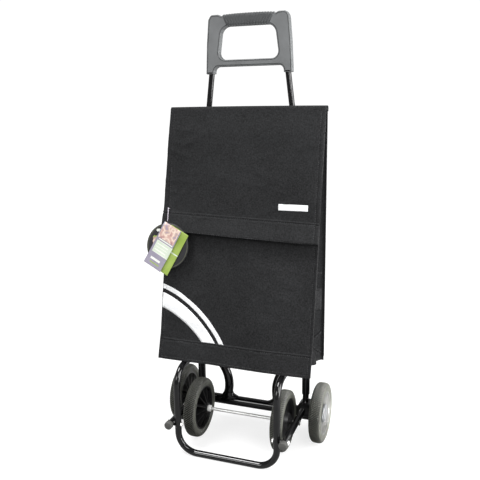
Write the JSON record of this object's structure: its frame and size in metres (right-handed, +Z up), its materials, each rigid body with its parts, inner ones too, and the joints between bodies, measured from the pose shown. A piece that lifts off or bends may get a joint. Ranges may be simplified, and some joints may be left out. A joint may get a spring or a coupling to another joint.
{
  "type": "wheeled shopping trolley",
  "caption": "Upright textile shopping trolley: a slim black bag with a cover flap on a bent steel tube chassis with paired wheels, a foot loop and a moulded handle.",
  "frame": {"origin": "on the floor, midway between the rear wheels and straight under their axis", "axes": "+Z up, -Y to the front (the way the bag and the foot loop face), +X to the right seen from the front"},
  "size_m": [0.4417, 0.27, 1.049],
  "materials": {
    "black_paint": "gloss",
    "black_plastic": "matte",
    "grey_plastic": "fine matte",
    "grip_plastic": "fine matte, ribbed",
    "cap_plastic": "satin",
    "clip_plastic": "satin",
    "tyre_rubber": "matte",
    "zinc": "bright zinc plate",
    "bag_cloth": "woven polyester",
    "band": "reflective woven band",
    "tape": "hook and loop",
    "board": "hardboard",
    "tag_paper": "coated card",
    "tag_leaf_paper": "coated card",
    "tag_disc_paper": "coated card",
    "pin_nylon": "satin"
  },
  "bodies": {
    "chassis": {"bag_back": "bag_cloth", "bag_floor": "bag_cloth", "bag_front": "bag_cloth", "bag_gusset_left": "bag_cloth", "bag_gusset_right": "bag_cloth", "bag_loop_tape": "tape", "base_board": "board", "brace_left": "black_paint", "brace_right": "black_paint", "cross_tube": "black_paint", "cross_tube_plug_left": "cap_plastic", "cross_tube_plug_right": "cap_plastic", "foot_bracket_left": "black_plastic", "foot_bracket_right": "black_plastic", "foot_loop": "black_paint", "front_axle": "zinc", "front_axle_nuts": "black_plastic", "front_bushes": "black_plastic", "front_hub_clips": "clip_plastic", "grip_tube_left": "black_paint", "grip_tube_right": "black_paint", "handle_frame": "grey_plastic", "handle_grip": "grip_plastic", "hanger_bar": "black_paint", "hanger_bar_bolts": "zinc", "loop_bolts": "zinc", "loop_plugs": "cap_plastic", "loop_spacers": "black_plastic", "middle_bar": "black_paint", "middle_bar_bolts": "zinc", "rail_cap_left": "cap_plastic", "rail_cap_right": "cap_plastic", "rail_left": "black_paint", "rail_right": "black_paint", "rear_stub_left": "zinc", "rear_stub_right": "zinc", "rear_washers": "zinc", "stripe_narrow": "band", "stripe_wide": "band", "tube_collar_left": "black_plastic", "tube_collar_right": "black_plastic", "upright_left": "black_paint", "upright_right": "black_paint"},
    "rear_wheel_right": {"rear_tyre_right": "tyre_rubber", "rear_rim_right": "black_plastic", "hub_cap_right": "cap_plastic"},
    "rear_wheel_left": {"rear_tyre_left": "tyre_rubber", "rear_rim_left": "black_plastic", "hub_cap_left": "cap_plastic"},
    "front_wheel_right": {"front_tyre_right": "tyre_rubber", "front_rim_right": "black_plastic"},
    "front_wheel_left": {"front_tyre_left": "tyre_rubber", "front_rim_left": "black_plastic"},
    "flap": {"flap": "bag_cloth", "flap_hook_tape": "tape", "woven_label": "band"},
    "tags": {"tag_disc": "tag_disc_paper", "tag_card_back": "tag_leaf_paper", "tag_card_front": "tag_paper", "tag_pin": "pin_nylon"}
  },
  "joints": [
    {"name": "rear_wheel_right_spin", "type": "hinge", "parent": "chassis", "child": "rear_wheel_right", "pos_m": [0.188, 0, 0.075], "axis": [1, 0, 0], "continuous": true},
    {"name": "rear_wheel_left_spin", "type": "hinge", "parent": "chassis", "child": "rear_wheel_left", "pos_m": [-0.188, 0, 0.075], "axis": [1, 0, 0], "continuous": true},
    {"name": "front_wheel_right_spin", "type": "hinge", "parent": "chassis", "child": "front_wheel_right", "pos_m": [0.1125, -0.076, 0.0785], "axis": [1, 0, 0], "continuous": true},
    {"name": "front_wheel_left_spin", "type": "hinge", "parent": "chassis", "child": "front_wheel_left", "pos_m": [-0.1125, -0.076, 0.0785], "axis": [1, 0, 0], "continuous": true},
    {"name": "flap_hinge", "type": "hinge", "parent": "chassis", "child": "flap", "pos_m": [0, 0.003, 0.835], "axis": [-1, 0, 0], "range_deg": [0, 105]},
    {"name": "tag_swing", "type": "hinge", "parent": "flap", "child": "tags", "pos_m": [-0.184, -0.0636, 0.592], "axis": [-1, 0, 0], "range_deg": [0, 45]}
  ]
}
